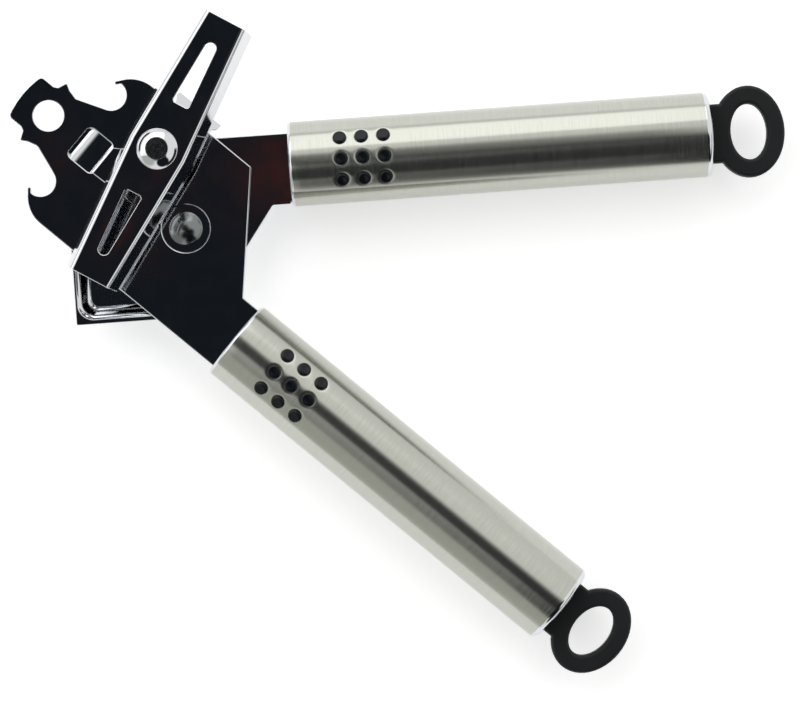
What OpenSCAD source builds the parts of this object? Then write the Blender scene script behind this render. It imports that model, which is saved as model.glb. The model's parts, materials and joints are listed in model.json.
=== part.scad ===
// Manual can opener: two plier levers with tubular steel handles, a winged key
// that drives a toothed feed wheel, a cutting disc on the rear lever, and a
// head that also opens bottles.
// Units are millimetres. The origin is the centre of the hanging hole, halfway
// through the front plate. +X runs along the front handle, +Z towards the key.
// The rear lever is drawn closed, on top of the front lever's frame, and is
// then turned about the pivot to the angle at which the opener is stored.

/* [Handles] */
// Outer diameter of each handle tube
tube_d = 22; // [18:0.5:27]
// Length of each handle tube
tube_len = 109; // [85:1:140]
// Wall of each handle tube
tube_wall = 0.9; // [0.7:0.1:1.3]
// Distance from the pivot to the mouth of each tube
tube_start = 28; // [26:0.2:36]
// Gap between the two tubes when the levers are closed
handle_gap = 6.6; // [4:0.2:9]
// How far the pivot lies off the middle of that gap, towards the front handle
handle_skew = 0.4; // [0:0.05:0.6]
// Radius of the rounded end of each tube
tube_end_r = 1.5; // [1.2:0.1:2.5]
// Room between the plate's neck and the bore of its tube
neck_room = 0.6; // [0.5:0.1:1.5]
// Distance from the pivot's line to the inner edge of each neck
neck_inner = 4.5; // [3.5:0.1:6]
// Length of the plastic core inside each tube
core_len = 37; // [34:1:50]
// Width of the tang that the core grips
tang_w = 13; // [10:0.5:15]
// Length of the tang past the collar
tang_len = 31; // [20:1:32]
// Thickness of the steel collar in the mouth of the tube
collar_t = 1; // [0.6:0.1:1.6]

/* [Grip dots] */
// Radius of a rubber dot
dot_r = 1.75; // [1.2:0.05:1.9]
// Spacing of the dots along the handle
dot_pitch = 5.6; // [4.6:0.1:6.8]
// Angle between rows of dots round the handle
dot_turn = 30; // [25:1:36]
// Distance from the tube's mouth to the middle dots
dot_mid = 19; // [16:0.2:24]
// How far a dot stands above the tube
dot_proud = 0.5; // [0.3:0.05:0.8]
// Thickness of the rubber pad inside the tube
pad_t = 1.2; // [0.8:0.1:1.5]

/* [Hanging rings] */
// Width of a ring across the handle
ring_w = 23.8; // [20:0.2:28]
// Length of a ring along the handle
ring_l = 18.6; // [16:0.2:22]
// Width of the finger hole
ring_hole_w = 14.4; // [12:0.2:15]
// Length of the finger hole
ring_hole_l = 9.4; // [8:0.2:10]
// Thickness of a ring
ring_t = 4; // [3:0.2:5]
// Distance from the tube's end to the middle of the ring
ring_reach = 10.1; // [9:0.1:12]
// Width of the tab that joins the ring to its plug
ring_tab_w = 15.3; // [12:0.1:16]
// Length of the plug inside the tube
plug_len = 7; // [5:0.5:12]

/* [Plates] */
// Width of both pressed plates
plate_w = 46; // [40:0.5:55]
// Thickness of both pressed plates
plate_t = 1.8; // [1.5:0.1:2.2]
// Gap between the plates, which the pivot washer fills
plate_gap = 0.5; // [0.4:0.05:0.8]
// Distance from the hanging hole to the pivot
hole_to_pivot = 46; // [38:0.5:56]
// Radius of the hanging hole
hang_r = 3.9; // [3.2:0.1:4.4]
// Distance from the pivot to where each plate narrows to its neck
neck_x = 22.9; // [21:0.1:25]
// Distance from the pivot to the top of the plate's slanted edge
slant_x = 2.9; // [1:0.1:6]
// Distance from the pivot to the rear plate's free end
rear_reach = 30.3; // [28:0.1:38]
// Depth of the tray drawn into the rear plate
tray_depth = 3.2; // [2.6:0.1:4.2]
// Flat border left beside the tray
tray_border = 1.6; // [1.4:0.1:2.4]

/* [Pivot] */
// Angle between the levers as stored
open_angle = 43.5; // [30:0.5:50]
// Largest angle between the levers
open_limit = 50.5; // [50:0.5:51]
// Radius of the pivot rivet's shank
pivot_r = 2.5; // [2:0.1:3]
// Radius of the pivot rivet's domed head
pivot_head_r = 4.35; // [3.8:0.05:5]
// Radius of the round recess that the head sits in
recess_r = 6.2; // [5.5:0.1:7]

/* [Drive] */
// Position of the drive shaft along the front plate, from the pivot
shaft_x = -17; // [-20:0.5:-16]
// Position of the drive shaft across the front plate, from the pivot
shaft_y = 11.2; // [10:0.2:12]
// Radius of the shaft where it turns in its bushing
shaft_r = 2.5; // [2:0.1:3]
// Radial clearance of every shaft or rivet that turns in a bore
run_clear = 0.05; // [0.02:0.01:0.09]
// Outer radius of the feed wheel's teeth
feed_r = 6; // [5:0.1:7.2]
// Number of teeth on the feed wheel
feed_teeth = 24; // [18:1:30]
// Height of the feed wheel's teeth
feed_h = 3.6; // [3:0.1:4.4]
// Radius of the cutting disc
cutter_r = 9.8; // [8:0.1:11.8]
// Thickness of the cutting disc
cutter_t = 1.2; // [1:0.1:1.5]
// How far the cutting disc reaches past the feed wheel's edge when closed
bite = 1; // [0.5:0.1:1.5]
// Room that the rear plate leaves round the feed wheel
notch_clear = 0.7; // [0.5:0.1:1]

/* [Key] */
// Length of the key over both wings
key_len = 74; // [60:1:89]
// Width of the key's web at the shaft
key_mid_w = 13.6; // [12.4:0.2:16.4]
// Width of the key's web at the wing ends
key_end_w = 9.7; // [8:0.1:12]
// Thickness of the key's sheet
key_t = 1.3; // [1:0.1:1.6]
// Height of the key from its turned edges to its top
key_h = 8; // [6:0.1:9.6]
// How far the turned edges flare past their bends
key_flare = 1.6; // [0.8:0.1:2]
// Height of the key's turned edges above the handle tubes
key_clear = 0.75; // [0.5:0.05:2]
// Angle of the key to the front handle as stored
key_turn = 101.5; // [0:0.5:180]
// Radius of the domed boss on the key
boss_r = 5.2; // [4.6:0.1:6]
// Radius of the shaft end that shows in the boss
boss_eye_r = 2.9; // [2.7:0.1:3.2]

/* [Hidden] */
$fn = 64;
big = 200;                       // larger than the opener, for trimming
slip = 0.05;                     // gap between flat faces that slide on each other

// Handle sizes that follow from the tube
tube_r = tube_d / 2;
bore_r = tube_r - tube_wall;
rim_lip = 0.3;                   // turned-in rim at the mouth
rim_t = 0.6;
front_off = tube_r + handle_gap / 2 - handle_skew;
rear_off = tube_r + handle_gap / 2 + handle_skew;
neck_reach = bore_r - neck_room; // from the tube's axis to the neck's edges
collar_x = tube_start + rim_t;
tang_x = collar_x + collar_t;
mouth_r = tube_r - tube_end_r - 0.4;  // opening left in the rounded end
pad_len = 3 * dot_pitch;
pad_half_angle = dot_turn + 14;
dot_chamfer = 0.3;
dot_dish = 0.12;                 // depth of the hollow in a dot's top

// Heights, from the front plate down to the cutting disc
plate_half = plate_w / 2;
z_front_top = plate_t / 2;
z_front_low = -plate_t / 2;
z_rear_top = z_front_low - plate_gap;
z_rear_low = z_rear_top - plate_t;
z_floor_top = z_rear_top - tray_depth;
z_floor_low = z_floor_top - plate_t;
z_handle = (z_rear_top + z_rear_low) / 4;
front_slot_z = -z_handle;        // each plate's middle above its tube's axis
rear_slot_z = (z_rear_top + z_rear_low) / 2 - z_handle;
feed_hang = 0.6;                 // feed wheel below the tray's floor
z_feed_low = z_floor_low - feed_hang;
z_feed_top = z_feed_low + feed_h;
cutter_gap = 0.2;                // between the faces of feed wheel and cutter
z_cut_top = z_feed_low - cutter_gap;
z_cut_low = z_cut_top - cutter_t;

// Pivot rivet and its washers
pivot_washer_r = 6;
back_washer_r = 5.5;
back_washer_t = 0.7;
z_back_washer = z_rear_low - slip - back_washer_t;
back_head_r = 4;
back_head_h = 1.2;
head_rise = 1.8;                 // of the domed head above the recess
recess_depth = 0.5;              // of the round recess under the head
z_recess = z_front_top - recess_depth;

// Drive shaft, its bushing, washer and nut
bushing_wall = 1;
bushing_r = shaft_r + bushing_wall;
flange_r = bushing_r + 1.6;
shoulder_r = shaft_r + 1.5;
hub_r = shaft_r + 1.8;
stud_r = shaft_r - 0.5;
nut_h = 1.6;
nut_r = 3.4;
tooth_h = 0.9;

// Heights, from the front plate up to the key's boss
bushing_flange_t = 1;
z_bushing_top = z_front_top + bushing_flange_t;
washer_t = 0.4;
z_shoulder = z_bushing_top + washer_t + 2 * slip;
z_key_low = z_handle + tube_r + key_clear;
z_key_top = z_key_low + key_h;
boss_h = 1.9;
boss_rise = 2.4;                 // of the boss's dome before its top is cut flat
key_bend_r = 0.8;                // outer radius of the bends along the key

// Head outline, measured from the hanging hole
head_tip_x = 8.8;
head_tip_r = 24.6;
tip_half = 6.75;                 // half the width of the head's end
tip_corner = 1.3;
hook_back_r = 9;
hook_x = 16;
hook_y = plate_half - hook_back_r;
gape_r = 3.8;                    // round hollow inside the hook
gape_x = hook_x - 6.8;
gape_y = hook_y + 0.4;
ear = [[-3.7, tip_half], [-2.7, 7.3], [-1.7, 9.7], [0.3, 8.6]];  // tooth beside the hole
waist = [2.7, 8];                // where the head is narrowest
beak = [hook_x - 7.8, hook_y + 3.75];  // rounded point of the hook
beak_root = beak + [1, 1.25];
beak_r = 0.55;

// Tray in the rear plate, measured from the pivot with the levers closed
shaft_dist = norm([shaft_x, shaft_y]);
shaft_angle = atan2(shaft_y, shaft_x);
notch_r = feed_r + notch_clear;
notch_edge_y = shaft_y - notch_r;
tray_x0 = -rear_reach + tray_border;
tray_x1 = -pivot_head_r - 2.9;
tray_y0 = -plate_half + tray_border + 0.4;
tray_y1 = notch_edge_y - tray_border;
tray_slope = 1.6;                // how far the walls lean in
tray_skin = 1.2;                 // metal outside the cavity's outline
tray_corner = 3.2;

// Cutting disc, tied to the feed wheel by the bite
cutter_angle = -93.9;
cutter_dist = feed_r + cutter_r - bite;
cutter_x = shaft_x + cutter_dist * cos(cutter_angle);
cutter_y = shaft_y + cutter_dist * sin(cutter_angle);
cutter_pin_r = 2.5;
cutter_hub_r = 4;
cutter_head_r = 4.4;
cutter_head_h = 1.1;
cutter_washer_t = 0.5;
z_cut_washer = z_cut_low - slip - cutter_washer_t;

function ellipse_points(a, b, n = 48) =
    [for (i = [0 : n - 1]) [a * cos(360 * i / n), b * sin(360 * i / n)]];
function arc_points(c, r, a0, a1, n) =
    [for (i = [0 : n]) c + r * [cos(a0 + (a1 - a0) * i / n), sin(a0 + (a1 - a0) * i / n)]];

// Where the line from p that touches the circle about c on its right meets it
function touch_point(p, c, r) =
    let (d = norm(c - p), a = atan2(c[1] - p[1], c[0] - p[0]) - asin(r / d))
    p + sqrt(d * d - r * r) * [cos(a), sin(a)];

// ---- placing ----

module at_pivot() {
    translate([hole_to_pivot, 0, 0]) children();
}

module on_rear_lever() {
    at_pivot() rotate([0, 0, open_angle]) children();
}

// Turns a shape drawn upwards from the tube's mouth along the front handle
module along_front_handle() {
    at_pivot() translate([tube_start, -front_off, z_handle]) children();
}

module along_rear_handle() {
    on_rear_lever() translate([tube_start, rear_off, z_handle]) children();
}

module at_shaft() {
    translate([hole_to_pivot + shaft_x, shaft_y, 0]) children();
}

module at_cutter() {
    on_rear_lever() translate([cutter_x, cutter_y, 0]) children();
}

module ring(r_out, r_in, z_low, z_top) {
    translate([0, 0, z_low]) difference() {
        cylinder(r = r_out, h = z_top - z_low);
        translate([0, 0, -1]) cylinder(r = r_in, h = z_top - z_low + 2);
    }
}

module rounded_rect(x0, x1, y0, y1, r) {
    translate([x0 + r, y0 + r]) offset(r = r) square([x1 - x0 - 2 * r, y1 - y0 - 2 * r]);
}

module dome(base_r, h) {
    ball_r = (base_r * base_r + h * h) / (2 * h);
    intersection() {
        cylinder(r = base_r, h = h + 1);
        translate([0, 0, h - ball_r]) sphere(r = ball_r);
    }
}

// ---- plates ----

// Outer edge of the neck whose tube lies at that offset from the pivot
function neck_outer(off) = min(plate_half, off + neck_reach);

// Body of a lever's plate about the pivot, with the neck on the -Y side. The
// neck narrows where it enters the tube, to clear the bore.
module lever_body_2d(reach, off) {
    step_x = tube_start - 0.4;
    low = -neck_outer(off);
    high = -off + neck_reach;
    polygon([
        [-reach, -plate_half], [neck_x, -plate_half], [neck_x, low], [tang_x, low],
        [tang_x, high], [step_x, high], [step_x, max(high, -neck_inner)],
        [neck_x, max(high, -neck_inner)], [slant_x, plate_half], [-reach, plate_half]
    ]);
}

module tang_2d(off) {
    translate([tang_x - 1, -off - tang_w / 2]) square([tang_len + 1, tang_w]);
}

// One side of the bottle-opening head, from the hole's centre line outwards
module head_side_2d() {
    gape = [gape_x, gape_y];
    shoulder = touch_point(waist, gape, gape_r);
    difference() {
        union() {
            translate([hook_x, hook_y]) circle(r = hook_back_r);
            polygon(concat(
                [[-head_tip_x - 1, 0], [-head_tip_x - 1, tip_half]], ear,
                [waist, shoulder, [hook_x, hook_y], [hook_x, 0]]
            ));
        }
        translate(gape) circle(r = gape_r);
        polygon([waist, shoulder, gape, gape - [6, 0]]);
    }
    hull() {
        translate(beak) circle(r = beak_r);
        translate(beak_root) circle(r = beak_r);
    }
}

// Curved end of the head with its corners rounded, and everything behind it
module head_limit_2d() {
    offset(r = tip_corner) offset(r = -tip_corner) intersection() {
        translate([head_tip_r - head_tip_x, 0]) circle(r = head_tip_r);
        translate([-head_tip_x - 1, -tip_half]) square([2 * head_tip_x, 2 * tip_half]);
    }
    translate([ear[0][0], -big / 2]) square(big);
}

module head_2d() {
    intersection() {
        union() {
            head_side_2d();
            mirror([0, 1]) head_side_2d();
        }
        head_limit_2d();
    }
}

module front_outline_2d() {
    soft = 0.45;
    offset(r = soft) offset(r = -2 * soft) offset(r = soft) {
        head_2d();
        translate([hole_to_pivot, 0]) lever_body_2d(hole_to_pivot - hook_x, front_off);
    }
    translate([hole_to_pivot, 0]) tang_2d(front_off);
}

// Pressed rectangular pocket: a hollow that rises from a steep wall to a
// crease, then a flat step with a sloping far wall
module pocket_cut() {
    near_x = 9.9;
    far_x = 18.4;
    crease_x = 13.6;
    deep = 1.35;
    step = 0.5;
    width = 9.6;
    corner = 1.6;
    intersection() {
        rotate([90, 0, 0]) translate([0, z_front_top, -width / 2]) linear_extrude(width) polygon([
            [near_x, 0.1], [near_x + 0.3, -deep], [near_x + 1.8, -0.68 * deep],
            [crease_x, -step], [far_x - 0.9, -step], [far_x, 0.1]
        ]);
        translate([0, 0, -plate_t]) linear_extrude(3 * plate_t)
            rounded_rect(near_x, far_x, -width / 2, width / 2, corner);
    }
}

// Lip beside the feed wheel that keeps the can upright and stops the rear
// lever when it opens
module guide_lip() {
    reach = 3.4;
    droop = 42;
    fall = reach * tan(droop);
    root_w = 12;
    lip_w = 13.8;
    corner = 1.5;
    translate([hole_to_pivot + shaft_x, plate_half, 0]) intersection() {
        rotate([90, 0, 90]) translate([0, 0, -lip_w / 2]) linear_extrude(lip_w) polygon([
            [-1, z_front_low], [-1, z_front_top], [0, z_front_top],
            [reach, z_front_top - fall], [reach - plate_t * sin(droop), z_front_low - fall],
            [-plate_t * tan(droop / 2), z_front_low]
        ]);
        translate([0, 0, -5 * plate_t]) linear_extrude(7 * plate_t) {
            translate([-root_w / 2, -1]) square([root_w, 3]);
            rounded_rect(-lip_w / 2, lip_w / 2, 0.9, reach + 1.2, corner);
        }
    }
}

module front_plate() {
    color("gainsboro") difference() {
        union() {
            translate([0, 0, z_front_low]) linear_extrude(plate_t) front_outline_2d();
            guide_lip();
        }
        cylinder(r = hang_r, h = 3 * plate_t, center = true);
        pocket_cut();
        at_pivot() cylinder(r = pivot_r, h = 3 * plate_t, center = true);
        at_pivot() translate([0, 0, z_recess]) cylinder(r = recess_r, h = plate_t);
        at_shaft() cylinder(r = bushing_r, h = 3 * plate_t, center = true);
    }
}

// Room that the feed wheel needs in the rear plate from closed to fully open
module feed_notch_2d() {
    far = 60;
    open_dir = shaft_angle - open_limit;
    translate([shaft_x, shaft_y]) circle(r = notch_r);
    translate([-far, notch_edge_y]) square([far + shaft_x, far]);
    difference() {
        polygon([
            [0, 0], far * [cos(shaft_angle), sin(shaft_angle)],
            far * [cos(shaft_angle - open_limit / 2), sin(shaft_angle - open_limit / 2)],
            far * [cos(open_dir), sin(open_dir)]
        ]);
        circle(r = shaft_dist - notch_r);
    }
    rotate([0, 0, open_dir]) translate([shaft_dist, 0]) {
        circle(r = notch_r);
        translate([0, -notch_r]) square([far, notch_r]);
    }
}

module rear_outline_2d() {
    soft = 0.6;
    offset(r = soft) offset(r = -2 * soft) offset(r = soft) difference() {
        mirror([0, 1]) lever_body_2d(rear_reach, rear_off);
        feed_notch_2d();
    }
    mirror([0, 1]) tang_2d(rear_off);
}

module tray_layer(grow, lean, z) {
    translate([0, 0, z]) linear_extrude(0.01) rounded_rect(
        tray_x0 - grow + lean, tray_x1 + grow - lean,
        tray_y0 - grow + lean, tray_y1 + grow - lean, tray_corner);
}

module rear_plate() {
    color("lightgray") on_rear_lever() difference() {
        union() {
            translate([0, 0, z_rear_low]) linear_extrude(plate_t) rear_outline_2d();
            hull() {
                tray_layer(tray_skin, 0, z_rear_low);
                tray_layer(tray_skin, tray_slope, z_floor_low);
            }
        }
        hull() {
            tray_layer(0, 0, z_rear_top);
            tray_layer(0, tray_slope, z_floor_top);
        }
        cylinder(r = pivot_r + run_clear, h = 20, center = true);
        translate([cutter_x, cutter_y, z_floor_low - 1]) cylinder(r = cutter_pin_r, h = plate_t + 2);
    }
}

// ---- handles ----

// Wall of the tube from its mouth to its rounded end, ready to be turned
module tube_profile_2d() {
    round_y = tube_len - tube_end_r;
    translate([bore_r - rim_lip, 0]) square([rim_lip + tube_wall, rim_t]);
    translate([bore_r, 0]) square([tube_wall, round_y]);
    translate([tube_r - tube_end_r, round_y]) intersection() {
        difference() {
            circle(r = tube_end_r);
            circle(r = tube_end_r - tube_wall);
        }
        square(tube_end_r);
    }
    translate([mouth_r, tube_len - tube_wall]) square([tube_r - tube_end_r - mouth_r, tube_wall]);
}

// Repeats a radial shape at every grip dot
module at_dots() {
    for (column = [-1 : 1], row = [-1 : 1])
        translate([dot_mid + column * dot_pitch, 0, 0]) rotate([row * dot_turn, 0, 0]) children();
}

module handle_tube() {
    difference() {
        rotate([0, 90, 0]) rotate_extrude() tube_profile_2d();
        at_dots() cylinder(r = dot_r + slip, h = tube_d);
    }
}

// slot_z is the height of the plate's middle above the tube's axis, and off is
// the tube's offset from the pivot, with the pivot on the +Y side
module handle_collar(slot_z, off) {
    low = off - neck_outer(off);
    difference() {
        translate([rim_t, 0, 0]) rotate([0, 90, 0]) cylinder(r = bore_r, h = collar_t);
        translate([-1, low, slot_z - plate_t / 2])
            cube([rim_t + collar_t + 2, neck_reach - low, plate_t]);
    }
}

module grip_wedge_2d(half_angle) {
    far = 2 * tube_r;
    polygon([[0, 0], far * [-tan(half_angle), 1], far * [tan(half_angle), 1]]);
}

module pad_shell(r_out, r_in, length, half_angle) {
    translate([dot_mid - length / 2, 0, 0]) rotate([90, 0, 90]) linear_extrude(length)
        intersection() {
            difference() {
                circle(r = r_out);
                circle(r = r_in);
            }
            grip_wedge_2d(half_angle);
        }
}

module handle_core(slot_z) {
    difference() {
        translate([rim_t + collar_t, 0, 0]) rotate([0, 90, 0]) cylinder(r = bore_r, h = core_len);
        translate([-1, -tang_w / 2, slot_z - plate_t / 2])
            cube([rim_t + collar_t + tang_len + 1.2, tang_w, plate_t]);
        pad_shell(bore_r + 1, bore_r - pad_t, pad_len + 2 * slip, pad_half_angle + 1);
    }
}

// A button with a chamfered rim and a slightly hollow top
module grip_dot() {
    base_z = bore_r - pad_t / 2;
    top_z = tube_r + dot_proud;
    dish_r = dot_r - 2 * dot_chamfer;
    dish_ball_r = (dish_r * dish_r + dot_dish * dot_dish) / (2 * dot_dish);
    difference() {
        union() {
            translate([0, 0, base_z]) cylinder(r = dot_r, h = top_z - dot_chamfer - base_z);
            translate([0, 0, top_z - dot_chamfer])
                cylinder(r1 = dot_r, r2 = dot_r - dot_chamfer, h = dot_chamfer);
        }
        translate([0, 0, top_z - dot_dish + dish_ball_r]) sphere(r = dish_ball_r);
    }
}

module handle_grip_pad() {
    pad_shell(bore_r, bore_r - pad_t, pad_len, pad_half_angle);
    at_dots() grip_dot();
}

module handle_end_ring() {
    difference() {
        union() {
            translate([tube_len - tube_wall - plug_len, 0, 0]) rotate([0, 90, 0])
                cylinder(r = bore_r - tube_end_r + tube_wall, h = plug_len);
            translate([tube_len - tube_wall - 1, 0, 0]) rotate([0, 90, 0])
                cylinder(r = mouth_r, h = tube_wall + 1);
            translate([0, 0, -ring_t / 2]) linear_extrude(ring_t) {
                translate([tube_len - 1, -ring_tab_w / 2]) square([ring_reach + 1, ring_tab_w]);
                translate([tube_len + ring_reach, 0]) polygon(ellipse_points(ring_l / 2, ring_w / 2));
            }
        }
        translate([tube_len + ring_reach, 0, -ring_t]) linear_extrude(2 * ring_t)
            polygon(ellipse_points(ring_hole_l / 2, ring_hole_w / 2));
    }
}

module front_tube() {
    color("silver") along_front_handle() handle_tube();
}

module front_collar() {
    color("gainsboro") along_front_handle() handle_collar(front_slot_z, front_off);
}

module front_core() {
    color("dimgray") along_front_handle() handle_core(front_slot_z);
}

module front_grip_pad() {
    color("black") along_front_handle() handle_grip_pad();
}

module front_end_ring() {
    color("black") along_front_handle() handle_end_ring();
}

module rear_tube() {
    color("silver") along_rear_handle() handle_tube();
}

module rear_collar() {
    color("gainsboro") along_rear_handle() mirror([0, 1, 0])
        handle_collar(rear_slot_z, rear_off);
}

module rear_core() {
    color("dimgray") along_rear_handle() handle_core(rear_slot_z);
}

module rear_grip_pad() {
    color("black") along_rear_handle() handle_grip_pad();
}

module rear_end_ring() {
    color("black") along_rear_handle() handle_end_ring();
}

// ---- pivot ----

module pivot_rivet() {
    color("silver") at_pivot() {
        translate([0, 0, z_recess]) dome(pivot_head_r, head_rise);
        translate([0, 0, z_back_washer - 0.1])
            cylinder(r = pivot_r, h = z_recess - z_back_washer + 0.2);
        translate([0, 0, z_back_washer - back_head_h])
            cylinder(r1 = back_head_r - 0.6, r2 = back_head_r, h = back_head_h);
    }
}

module pivot_washer() {
    color("dimgray") at_pivot() ring(pivot_washer_r, pivot_r, z_rear_top + slip, z_front_low);
}

module pivot_back_washer() {
    color("darkgray") at_pivot() ring(back_washer_r, pivot_r, z_back_washer, z_rear_low - slip);
}

// ---- drive ----

module drive_bushing() {
    color("goldenrod") at_shaft() difference() {
        union() {
            translate([0, 0, z_front_low]) cylinder(r = bushing_r, h = plate_t + 0.1);
            translate([0, 0, z_front_top]) cylinder(r = flange_r, h = bushing_flange_t);
        }
        cylinder(r = shaft_r + run_clear, h = 20, center = true);
    }
}

module drive_shaft() {
    color("silver") at_shaft() {
        z_web = z_key_top - key_t;
        translate([0, 0, z_shoulder]) cylinder(r = shoulder_r, h = z_web - z_shoulder);
        translate([0, 0, z_web - 0.1]) cylinder(r = boss_eye_r, h = key_t + boss_h - 0.1);
        translate([0, 0, z_feed_low]) cylinder(r = shaft_r, h = z_shoulder - z_feed_low + 0.1);
        translate([0, 0, z_feed_low - nut_h - 0.4]) cylinder(r = stud_r, h = nut_h + 0.5);
    }
}

module thrust_washer() {
    color("darkgray") at_shaft() ring(bushing_r + 1.2, shaft_r, z_bushing_top + slip, z_shoulder);
}

module feed_wheel() {
    color("slategray") at_shaft() difference() {
        union() {
            translate([0, 0, z_feed_low]) linear_extrude(feed_h) polygon([
                for (i = [0 : 2 * feed_teeth - 1], turn = 180 * i / feed_teeth)
                    (feed_r - (i % 2) * tooth_h) * [cos(turn), sin(turn)]
            ]);
            translate([0, 0, z_feed_top - 0.1])
                cylinder(r = hub_r, h = z_front_low - 2 * slip - z_feed_top + 0.1);
        }
        cylinder(r = shaft_r, h = 40, center = true);
    }
}

module feed_nut() {
    color("darkgray") at_shaft() difference() {
        translate([0, 0, z_feed_low - nut_h]) cylinder(r = nut_r, h = nut_h, $fn = 6);
        cylinder(r = stud_r, h = 60, center = true);
    }
}

// Cross-section of one turned edge: web, bend and flared skirt. Y is 0 at the
// edge of the flat web, and Z is 0 at its top.
module key_edge_2d() {
    inward = 20;                 // past the key's middle line
    lean = atan(key_flare / (key_h - key_bend_r));
    bend = arc_points([0, -key_bend_r], key_bend_r, 90, lean, 6);
    skirt = (key_h - key_bend_r * (1 - sin(lean))) / cos(lean);
    toe = bend[len(bend) - 1] + skirt * [sin(lean), -cos(lean)];
    heel = toe - key_t * [cos(lean), sin(lean)];
    elbow = [0.3 - key_t * cos(lean), -key_t];
    polygon(concat([[-inward, 0]], bend, [
        toe, heel, elbow + [0.1, -0.4], elbow - [0.4, 0], [-inward, -key_t]
    ]));
}

module key_quarter() {
    taper = atan((key_mid_w - key_end_w) / key_len);
    intersection() {
        translate([0, key_mid_w / 2, z_key_top]) rotate([0, 0, -taper])
            rotate([90, 0, 90]) translate([0, 0, -5]) linear_extrude(key_len) key_edge_2d();
        translate([0, 0, z_key_low]) cube([key_len / 2, key_mid_w, 2 * key_h]);
    }
}

// Window in a wing, wide at the shaft's end and round at the tip
module key_window() {
    near_x = 12.6;
    tip_r = 1.45;
    far_x = key_len / 2 - 8.3;
    near_w = 4.6;
    translate([0, 0, z_key_low]) linear_extrude(2 * key_h) {
        polygon([
            [near_x, -near_w / 2 + 0.5], [near_x + 0.5, -near_w / 2], [far_x, -tip_r],
            [far_x, tip_r], [near_x + 0.5, near_w / 2], [near_x, near_w / 2 - 0.5]
        ]);
        translate([far_x, 0]) circle(r = tip_r);
    }
}

module key() {
    color("gainsboro") at_shaft() rotate([0, 0, key_turn]) difference() {
        for (side = [0, 1], wing = [0, 1])
            mirror([wing, 0, 0]) mirror([0, side, 0]) key_quarter();
        for (wing = [0, 180]) rotate([0, 0, wing]) key_window();
        cylinder(r = boss_eye_r, h = big);
    }
}

module key_boss() {
    color("silver") at_shaft() difference() {
        translate([0, 0, z_key_top]) intersection() {
            dome(boss_r, boss_rise);
            cylinder(r = boss_r, h = boss_h);
        }
        cylinder(r = boss_eye_r, h = big);
    }
}

// ---- cutter ----

module cutter_wheel() {
    edge_drop = 0.3;
    flat_r = cutter_r - 1.6;
    color("slategray") at_cutter() rotate_extrude() polygon([
        [cutter_pin_r + run_clear, z_cut_top], [cutter_r - 0.6, z_cut_top],
        [cutter_r, z_cut_top - edge_drop], [flat_r, z_cut_low],
        [cutter_pin_r + run_clear, z_cut_low]
    ]);
}

module cutter_rivet() {
    color("silver") at_cutter() {
        translate([0, 0, z_floor_top]) dome(cutter_hub_r, 1.2);
        translate([0, 0, z_cut_washer - 0.1])
            cylinder(r = cutter_pin_r, h = z_floor_top - z_cut_washer + 0.2);
        translate([0, 0, z_cut_washer - cutter_head_h])
            cylinder(r1 = cutter_head_r - 0.6, r2 = cutter_head_r, h = cutter_head_h);
    }
}

module cutter_spacer() {
    color("darkgray") at_cutter() ring(cutter_hub_r, cutter_pin_r, z_cut_top + slip, z_floor_low);
}

module cutter_washer() {
    color("darkgray") at_cutter()
        ring(cutter_head_r + 0.8, cutter_pin_r, z_cut_washer, z_cut_low - slip);
}

front_plate();
front_tube();
front_collar();
front_core();
front_grip_pad();
front_end_ring();
rear_plate();
rear_tube();
rear_collar();
rear_core();
rear_grip_pad();
rear_end_ring();
pivot_rivet();
pivot_washer();
pivot_back_washer();
drive_bushing();
drive_shaft();
thrust_washer();
key();
key_boss();
feed_wheel();
feed_nut();
cutter_wheel();
cutter_rivet();
cutter_spacer();
cutter_washer();
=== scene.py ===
"""Looks of a manual can opener: two levers with tubular steel handles, a winged
key on a toothed feed wheel, and a cutting disc. The script is laid out as an
add-on and is run as a script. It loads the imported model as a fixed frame, then
gives every sub-part its final edges and its finish, and sets up the stage.
"""

import json
import math

import bmesh
import bpy
from bpy.props import FloatProperty, FloatVectorProperty, IntProperty, PointerProperty
from mathutils import Matrix, Vector

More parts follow.
